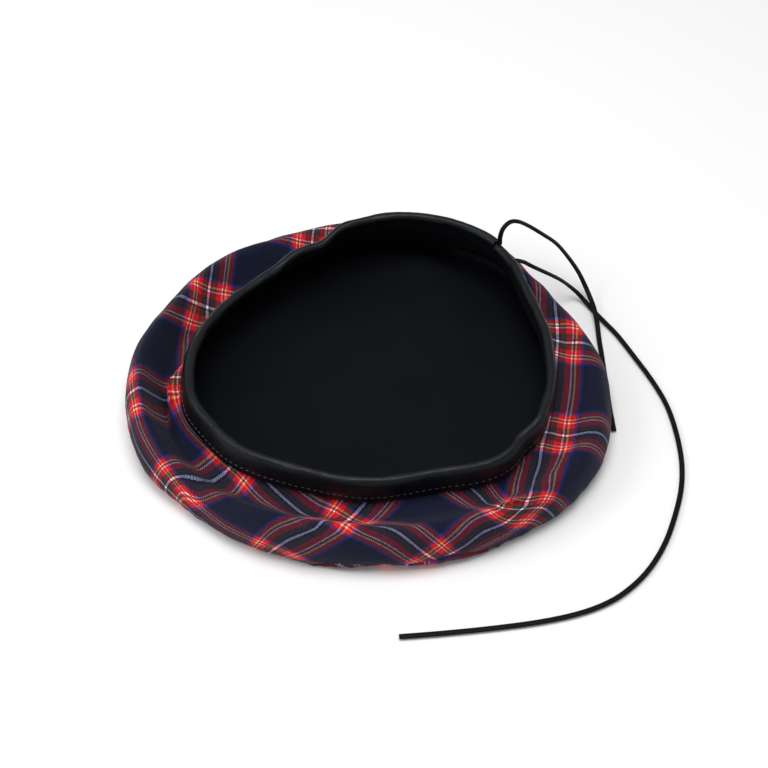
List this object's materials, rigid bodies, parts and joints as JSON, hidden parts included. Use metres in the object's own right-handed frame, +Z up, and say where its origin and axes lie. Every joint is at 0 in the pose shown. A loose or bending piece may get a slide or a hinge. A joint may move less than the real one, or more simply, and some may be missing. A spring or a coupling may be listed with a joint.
{
  "type": "tam o' shanter",
  "caption": "Tartan tam o' shanter lying upside down on its crown, with a black lining, a leather headband and the tails of its drawcord.",
  "frame": {"origin": "on the surface the crown lies on, under the middle of the hat", "axes": "+X to the hat's right as pictured, +Y to its back, +Z up out of its mouth"},
  "size_m": [0.319, 0.2988, 0.0614],
  "materials": {
    "tartan": "twill weave in navy, red, green, gold and white checks",
    "lining": "black satin lining",
    "leather": "soft black leather, low sheen",
    "cord": "flat black leather lace"
  },
  "bodies": {
    "root": {"crown_top": "tartan", "underside_front": "tartan", "underside_right": "tartan", "underside_left": "tartan", "lining_crown": "lining", "lining_side": "lining", "headband": "leather", "headband_tab": "leather", "drawcord_short": "cord", "drawcord_long": "cord"}
  },
  "joints": []
}
